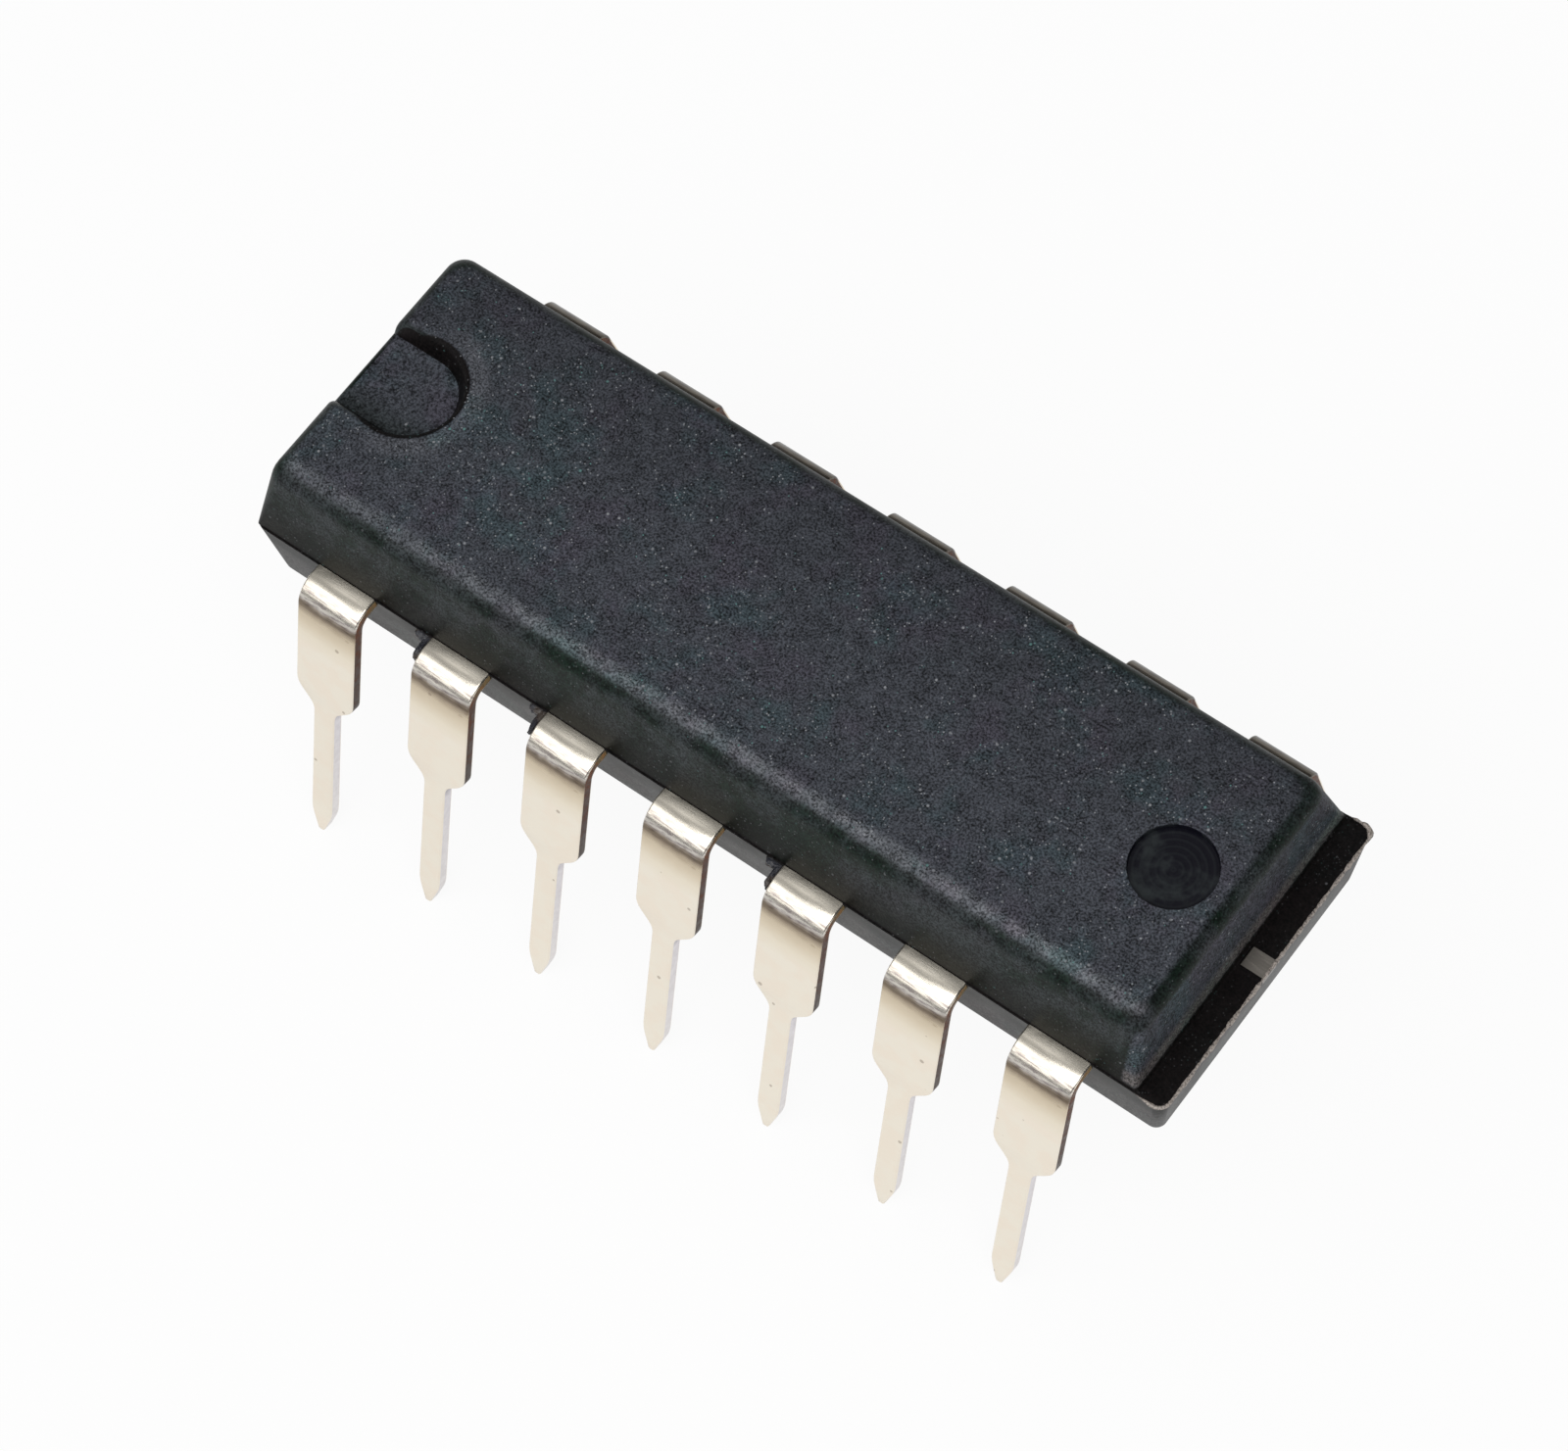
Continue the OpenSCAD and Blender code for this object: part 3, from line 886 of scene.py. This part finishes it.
def mouldedResin():
    material, tree, shader = newMaterial("mouldedResin", specular=resin["specular"])
    place = inMillimetres(tree)
    x, y, z = split(tree, place)[:3]
    onTop = zoned(tree, z, "top", bodyHigh.z)
    onEnd = product(tree, zoned(tree, x, "endSlope", upperEnd),
                    zoned(tree, z, "endSlopeTop", bodyHigh.z, 1.0, 0.0),
                    zoned(tree, z, "endSlopeFoot", parting))
    matte = calc(tree, "MAXIMUM", onTop, onEnd)
    # Painted shade: the sides are darkest low down, near the parting line
    colour = mixed(tree, zoned(tree, z, "sides", parting), resin["lowColour"],
                   resin["sideColour"])
    blotch = rise(tree, rough(tree, place, *resin["blotchNoise"]), 0.4, 0.6)
    colour = mixed(tree, blotch, colour, resin["blotchTint"], "MULTIPLY")
    lower = zoned(tree, z, "lowerHalf", parting, 1.0, 0.0)
    colour = mixed(tree, lower, colour, resin["lowerHalfColour"])
    # Painted shade: the top is lighter at the near side and darker at the far side
    topShade = zoned(tree, y, "dimmerTop", 0.0, *zones["dimmerBy"])
    colour = mixed(tree, matte, colour, scaled(tree, resin["topColour"], topShade))
    foot = product(tree, onEnd, zoned(tree, z, "footOfEnd", parting, 1.0, 0.0))
    upperHeight = bodyHigh.z - parting
    topEdge = insetAt(upperHeight, upperHeight, body["sideDraft"], body["topRound"])
    # Painted highlight: a pale band along the near top edge, broken up by noise
    rubbed = product(tree, band(tree, y, topEdge - body["halfWidth"] - zones["rubbedInset"],
                                zones["rubbedReach"]),
                     zoned(tree, z, "rubbedHeight", bodyHigh.z),
                     zoned(tree, x, "rubbedAlong", 0.0, 0.7, 1.0),
                     rise(tree, rough(tree, place, *resin["rubbedNoise"]), 0.36, 0.62,
                          0.45, 1.0))
    besideNotch = calc(tree, "SUBTRACT", x, notchCentre)
    fromNotch = calc(tree, "SQRT", calc(tree, "ADD", calc(tree, "POWER", besideNotch, 2.0),
                                        product(tree, y, y)))
    # Painted highlight: a paler ring on the top beside the notch
    halo = product(tree, zoned(tree, fromNotch, "haloStart"),
                   zoned(tree, fromNotch, "haloEnd", 0.0, 1.0, 0.0),
                   zoned(tree, x, "haloAlong", notchCentre), onTop, 0.6)
    # Painted shade on the notch's rounded rim, in the seam's near-black
    lip = product(tree, zoned(tree, fromNotch, "lip", 0.0, 1.0, 0.0),
                  zoned(tree, z, "lipHeight", bodyHigh.z))
    seam = band(tree, z, parting, *zones["seam"])
    for mask, name in ((foot, "foot"), (rubbed, "rubbed"), (halo, "halo"), (lip, "seam"),
                       (seam, "seam")):
        colour = mixed(tree, mask, colour, resin[name + "Colour"])
    finishResin(tree, shader, place, matte, colour, resin["flecks"])
    return material


def notchResin():
    material, tree, shader = newMaterial("notchResin", specular=resin["specular"])
    place = inMillimetres(tree)
    x, y, z = split(tree, place)[:3]
    floor = bodyHigh.z - body["notchDepth"]
    matte = zoned(tree, z, "notchFloor", floor, 1.0, 0.0)
    lit = zoned(tree, y, "notchShadow")
    colour = mixed(tree, lit, resin["sideColour"], resin["topColour"])
    # Painted shade: the notch's walls, above its floor, take the near-black colour
    colour = mixed(tree, matte, resin["seamColour"], colour)
    finishResin(tree, shader, place, matte, colour, resin["notchFlecks"])
    return material


polish = {
    "colour": (0.005, 0.005, 0.009),
    "ringSpacing": 0.13,       # mm, faint turning marks left by the ejector pin
    "ringDepth": 0.0012,
    "ringShade": 0.22,
    "grain": {"Grain size": 0.06, "Patch size": 0.5},
    "roughness": (0.2, 0.34),
}


def pinMarkResin():
    material, tree, shader = newMaterial("pinMarkResin", specular=resin["specular"])
    place = inMillimetres(tree)
    local = addNode(tree, "ShaderNodeUVMap", uv_map="markPlace").outputs[0]
    away = addNode(tree, "ShaderNodeVectorMath", {0: local}, operation="LENGTH").outputs["Value"]
    wave = calc(tree, "SINE", product(tree, away, tau / polish["ringSpacing"]))
    grain = effect(tree, "grain", Place=place, **polish["grain"])
    colour = mixed(tree, rise(tree, grain["Patches"], 0.45, 0.75), polish["colour"],
                   resin["sideColour"])
    lighter = product(tree, rise(tree, wave, 0.0, 1.0), polish["ringShade"])
    colour = mixed(tree, lighter, colour, resin["sideColour"])
    dress(tree, shader, colour, rise(tree, grain["Grain"], 0.3, 0.7, *polish["roughness"]),
          calc(tree, "ADD", wave, product(tree, grain["Grain"], 0.8)), polish["ringDepth"])
    return material


scrap = {
    "colour": (0.016, 0.017, 0.024),
    "patchColour": (0.05, 0.038, 0.03),
    "threadColour": (0.42, 0.37, 0.33),    # of the thread at the +X end
    "threadFrom": (-0.2, 0.3),             # mm from the upper half's end
    "grain": {"Grain size": 0.04, "Patch size": 0.25},
    "roughness": (0.18, 0.5),
    "bumpDepth": 0.012,
}


def scrapResin():
    material, tree, shader = newMaterial("scrapResin")
    place = inMillimetres(tree)
    grain = effect(tree, "grain", Place=place, **scrap["grain"])
    colour = mixed(tree, rise(tree, grain["Patches"], 0.4, 0.65), scrap["colour"],
                   scrap["patchColour"])
    start, full = scrap["threadFrom"]
    pale = product(tree, rise(tree, split(tree, place)[0], upperEnd + start, upperEnd + full),
                   rise(tree, grain["Grain"], 0.35, 0.6, 0.35, 1.0))
    colour = mixed(tree, pale, colour, scrap["threadColour"])
    dress(tree, shader, colour, rise(tree, grain["Grain"], 0.3, 0.7, *scrap["roughness"]),
          grain["Grain"], scrap["bumpDepth"])
    return material


tin = {
    "colour": (0.86, 0.80, 0.69),
    "roughness": (0.25, 0.36),  # on the bend and down the leg
    # painted reflection and shade: mm past the bend, and what is left of the colour there, darkest
    # in a line at the bend's end
    "trace": ((-0.27, (1, 1, 1)), (-0.22, (0.95, 0.96, 0.98)), (-0.175, (0.82, 0.84, 0.88)),
              (-0.135, (0.58, 0.58, 0.62)), (-0.10, (0.35, 0.32, 0.31)),
              (-0.06, (0.21, 0.18, 0.15)), (-0.01, (0.21, 0.17, 0.135)),
              (0.04, (0.35, 0.30, 0.25)), (0.2, (0.68, 0.62, 0.53)), (0.42, (0.81, 0.755, 0.67)),
              (0.73, (0.95, 0.93, 0.885)), (1.1, (1, 1, 1))),
    "bow": 0.03,               # mm, how far that trace sags at the middle of the strip
    "bowCurve": 2.4,
    "wobble": 0.09,
    "brushing": {"Length": 0.35, "Width": 0.03},
    "clouding": {"Length": 0.5, "Width": 0.5},
    "streakTint": (0.46, 0.42, 0.46),
    "warmTint": (1.0, 0.965, 0.95),
    "smudge": (0.48, 0.22),    # mm across and past the bend
    "smudgeTint": (0.40, 0.32, 0.22),
    "pits": {"Size": 0.16, "Share": 0.035},
    "pitColour": (0.22, 0.16, 0.11),
    # painted shade on the bends of the far row
    "tarnish": (0.075, 0.066, 0.052),
    "bumpDepth": 0.0009,
}


def tinPlating():
    material, tree, shader = newMaterial("tinPlating", metallic=1.0)
    strip = addNode(tree, "ShaderNodeUVMap", uv_map="strip").outputs[0]
    place = inMillimetres(tree)
    across, past = split(tree, strip)[:2]
    brushing = effect(tree, "brushing", Place=strip, **tin["brushing"])
    fine = effect(tree, "brushing", Place=place, **tin["clouding"])
    arch = calc(tree, "SUBTRACT", 1.0, product(tree, across, across, tin["bowCurve"]))
    wobble = calc(tree, "SUBTRACT", rough(tree, place, 5.0), 0.5)
    traced = calc(tree, "SUBTRACT", past, product(tree, arch, tin["bow"]))
    traced = calc(tree, "ADD", traced, product(tree, wobble, tin["wobble"]))
    # Painted reflection and shade: the colour is darkened along the lead, past its bend
    colour = mixed(tree, 1.0, tin["colour"],
                   tracedColour(tree, traced, tin["trace"]), "MULTIPLY")
    streaky = product(tree, rise(tree, brushing["Streaks"], 0.46, 0.62),
                      band(tree, past, -0.16, 0.24, 0.08), 0.9)
    colour = mixed(tree, streaky, colour, tin["streakTint"], "MULTIPLY")
    warm = product(tree, rise(tree, fine["Cloud"], 0.4, 0.62), rise(tree, past, 0.6, 1.2), 0.7)
    colour = mixed(tree, warm, colour, tin["warmTint"], "MULTIPLY")
    # Painted shade: the bends of the far row of leads are darkened
    farBendShadeMask = product(tree, rise(tree, split(tree, place)[1], -1.0, 1.0),
                      band(tree, past, -0.14, 0.26, 0.13), 0.92)
    colour = mixed(tree, farBendShadeMask, colour, tin["tarnish"], "MULTIPLY")
    side, down = tin["smudge"]
    spot = product(tree, band(tree, across, side, 0.09), band(tree, past, down, 0.05), 0.75)
    smear = product(tree, band(tree, across, side - 0.22, 0.3),
                    band(tree, past, down - 0.05, 0.13), 0.4)
    colour = mixed(tree, calc(tree, "MAXIMUM", spot, smear), colour, tin["smudgeTint"])
    pits = effect(tree, "specks", Place=place, **tin["pits"])
    pitMask = product(tree, rise(tree, pits["Mask"], 0.75, 0.95), 0.5)
    colour = mixed(tree, pitMask, colour, tin["pitColour"])
    uneven = product(tree, calc(tree, "SUBTRACT", brushing["Streaks"], 0.5), 0.25)
    gloss = calc(tree, "ADD", rise(tree, past, 0.0, 0.5, *tin["roughness"]), uneven)
    height = calc(tree, "ADD", brushing["Streaks"],
                  product(tree, rough(tree, place, 16.0, 3.0), 0.8))
    dress(tree, shader, colour, gloss, height, tin["bumpDepth"])
    return material


shear = {
    # mm past the bend, and the colour of the sheared edge there; its dark brown near the body is
    # bare copper with painted shade
    "trace": ((-0.6, (0.30, 0.22, 0.11)), (-0.2, (0.17, 0.08, 0.04)), (0.1, (0.105, 0.043, 0.022)),
              (0.9, (0.085, 0.037, 0.022)), (1.5, (0.08, 0.05, 0.04)), (2.2, (0.10, 0.08, 0.07)),
              (2.5, (0.40, 0.38, 0.40)), (2.9, (0.74, 0.71, 0.73)), (5.9, (0.78, 0.75, 0.74))),
    "waver": 0.6,              # mm, how unevenly it ends
    "brushing": {"Length": 0.05, "Width": 0.12},
    "rustTint": (1.8, 1.1, 0.7),
    "roughness": (0.35, 0.55),
    "bumpDepth": 0.006,
}


def shearedEdge():
    material, tree, shader = newMaterial("shearedEdge", specular=0.12)
    past = split(tree, addNode(tree, "ShaderNodeUVMap", uv_map="strip").outputs[0])[1]
    place = inMillimetres(tree)
    brushing = effect(tree, "brushing", Place=place, **shear["brushing"])
    waver = calc(tree, "SUBTRACT", brushing["Cloud"], 0.5)
    past = calc(tree, "ADD", past, product(tree, waver, shear["waver"]))
    rusty = product(tree, rise(tree, brushing["Streaks"], 0.45, 0.7, 0.0, 0.8),
                    rise(tree, past, 1.5, 2.3, 1.0, 0.0))
    # Bare copper-brown edge, darkened near the body by painted shade
    colour = mixed(tree, rusty, tracedColour(tree, past, shear["trace"]),
                   shear["rustTint"], "MULTIPLY")
    feed(tree, shader.inputs["Metallic"], rise(tree, past, 1.9, 2.6))
    dress(tree, shader, colour,
          rise(tree, brushing["Streaks"], 0.3, 0.7, *shear["roughness"]),
          brushing["Streaks"], shear["bumpDepth"])
    return material


inside = {
    "frame_metal": {"colour": (0.74, 0.72, 0.68), "metallic": 1.0, "roughness": 0.32},
    "glue": {"colour": (0.52, 0.50, 0.46), "metallic": 0.3, "roughness": 0.5},
    "silicon": {"colour": (0.15, 0.17, 0.23), "metallic": 0.6, "roughness": 0.16},
    "gold_wire": {"colour": (0.90, 0.62, 0.22), "metallic": 1.0, "roughness": 0.2},
}
inner = {
    "brushing": {"Length": 0.5, "Width": 0.04},
    "darker": 0.8,
    "bumpDepth": 0.0015,
    "tieEndFrom": (8.6, 8.9),  # mm from the middle, where the tie bars are cut bare
    "tieEndColour": (0.20, 0.185, 0.165),
    "circuitScale": 9.0,
    "circuitColours": {"Color1": (0.16, 0.19, 0.27), "Color2": (0.20, 0.17, 0.24),
                       "Mortar": (0.55, 0.52, 0.45)},
    "fillerSpecks": {"Size": 0.05, "Share": 0.35},
    "fillerColour": (0.8, 0.79, 0.76),
}


# Finishes of what the resin holds: drawn or cast metal with soft patches and a fine grain
def innerMaterial(slot, values):
    material, tree, shader = newMaterial(slot + "Finish", metallic=values["metallic"])
    place = inMillimetres(tree)
    brushing = effect(tree, "brushing", Place=place, **inner["brushing"])
    darker = tuple(inner["darker"] * c for c in values["colour"])
    colour = mixed(tree, rise(tree, brushing["Cloud"], 0.35, 0.65), darker, values["colour"])
    if slot == "frame_metal":
        away = calc(tree, "ABSOLUTE", split(tree, place)[0])
        colour = mixed(tree, rise(tree, away, *inner["tieEndFrom"]), colour,
                       inner["tieEndColour"])
    if slot == "silicon":
        circuit = addNode(tree, "ShaderNodeTexBrick",
                          {"Vector": place, "Scale": inner["circuitScale"],
                           "Mortar Size": 0.03, **inner["circuitColours"]})
        colour = mixed(tree, 0.6, colour, circuit.outputs["Color"])
    if slot == "glue":
        filler = effect(tree, "specks", Place=place, **inner["fillerSpecks"])
        colour = mixed(tree, product(tree, filler["Mask"], 0.7), colour,
                       inner["fillerColour"])
    gloss = rise(tree, brushing["Streaks"], 0.3, 0.7, values["roughness"] - 0.06,
                 values["roughness"] + 0.08)
    dress(tree, shader, colour, gloss, brushing["Streaks"], inner["bumpDepth"])
    return material


moulded = settle(makeBody())
for index, material in enumerate((mouldedResin(), notchResin(), pinMarkResin(), scrapResin())):
    moulded.data.materials[index] = material
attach(moulded, "root")
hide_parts("package_body")
print("moulded body:", len(moulded.data.polygons), "faces")

formTree = formLeadTree()
plating, cutEdge = tinPlating(), shearedEdge()
for number in range(1, 2 * leads["perSide"] + 1):
    lead = settle(makeLead(number, formTree, plating, cutEdge))
    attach(lead, "root")
    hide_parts(f"lead_{number:02d}")
print("leads:", 2 * leads["perSide"], "formed")

slotOf = {part["node"]: part["material_slot"] for part in frame["record"]["subparts"]}
innerMaterials = {slot: innerMaterial(slot, values) for slot, values in inside.items()}
for name, node in nodes.items():
    if slotOf.get(name) in innerMaterials:
        for holder in node.material_slots:
            holder.material = innerMaterials[slotOf[name]]
print("inner parts: chip, glue, paddle and bond wires finished")

studio = {
    "floorHalf": 3.0,          # m
    "floorColour": (0.95, 0.95, 0.95),
    "floorGlow": 0.92,
    "low": 0.2,                # strength of the room's light near the horizon and overhead
    "overhead": 0.45,
    "rises": (0.4, 0.85),      # heights between which it changes, 1 is overhead
    "horizon": 1.0,            # thin pale line where the floor ends
    "horizonEnds": (0.06, 0.1),
    "darkTowards": (0.62, 0.33, 0.72),
    "darkSpread": (0.75, 0.95),
    "darkShare": 0.75,
    "paleTowards": (-0.31, 0.33, 0.89),
    "paleSpread": (0.955, 0.995),
    "pale": 0.7,
}

lamps = {
    "frontBox": {"direction": (-0.31, -0.70, 0.64), "distance": 0.30, "size": 0.25,
                 "width": 0.34, "level": 1.4},
    "overCamera": {"direction": (0.31, -0.33, 0.89), "distance": 0.40, "size": 0.30,
                   "width": 0.30, "level": 2.6},
}


def addLamps():
    centre = (Vector(cadBox[0]) + Vector(cadBox[1])) / 2
    for name, values in lamps.items():
        lamp = bpy.data.lights.new(name, "AREA")
        lamp.shape, lamp.size, lamp.size_y = "RECTANGLE", values["width"], values["size"]
        lamp.energy = values["level"] * pi * values["size"] * values["width"]
        holder = newObject(name, lamp)
        toward = Vector(values["direction"]).normalized()
        holder.location = centre + toward * values["distance"]
        holder.rotation_euler = toward.to_track_quat("Z", "Y").to_euler()
        holder.visible_camera = False


def addWorld():
    world = bpy.data.worlds.new("studio")
    world.use_nodes = True
    tree = world.node_tree
    tree.nodes.clear()
    toward = addNode(tree, "ShaderNodeTexCoord").outputs["Generated"]
    height = split(tree, toward)[2]
    room = rise(tree, height, *studio["rises"], studio["low"], studio["overhead"])
    darker, paler = (addNode(tree, "ShaderNodeVectorMath",
                             {0: toward, 1: tuple(Vector(studio[name]).normalized())},
                             operation="DOT_PRODUCT").outputs["Value"]
                     for name in ("darkTowards", "paleTowards"))
    room = product(tree, room, rise(tree, darker, *studio["darkSpread"], 1.0,
                                    1 - studio["darkShare"]))
    room = calc(tree, "ADD", room, rise(tree, paler, *studio["paleSpread"], 0.0, studio["pale"]))
    edge = rise(tree, height, *studio["horizonEnds"], studio["horizon"], 0.0)
    shade = addNode(tree, "ShaderNodeBackground", {"Strength": calc(tree, "MAXIMUM", room, edge)})
    addNode(tree, "ShaderNodeOutputWorld", {0: shade.outputs[0]})
    bpy.context.scene.world = world


def addFloor():
    half = studio["floorHalf"]
    mesh = bpy.data.meshes.new("floor")
    mesh.from_pydata([(-half, -half, 0), (half, -half, 0), (half, half, 0), (-half, half, 0)],
                     [], [(0, 1, 2, 3)])
    floor = newObject("floor", mesh)
    material, tree, shader = newMaterial("floorCard", 0.8, specular=0)
    feed(tree, shader.inputs["Base Color"], studio["floorColour"])
    path = addNode(tree, "ShaderNodeLightPath").outputs
    seen = calc(tree, "MAXIMUM", path["Is Camera Ray"],
                calc(tree, "MAXIMUM", path["Is Glossy Ray"], path["Is Transmission Ray"]))
    glow = addNode(tree, "ShaderNodeEmission")
    mix = addNode(tree, "ShaderNodeMixShader", {0: product(tree, seen, studio["floorGlow"]),
                                                1: shader.outputs[0], 2: glow.outputs[0]})
    output = next(n for n in tree.nodes if n.type == "OUTPUT_MATERIAL")
    tree.links.new(mix.outputs[0], output.inputs[0])
    mesh.materials.append(material)


addLamps()
addWorld()
addFloor()
bpy.context.scene.view_settings.view_transform = "Standard"
print("studio: lamps, world and floor")
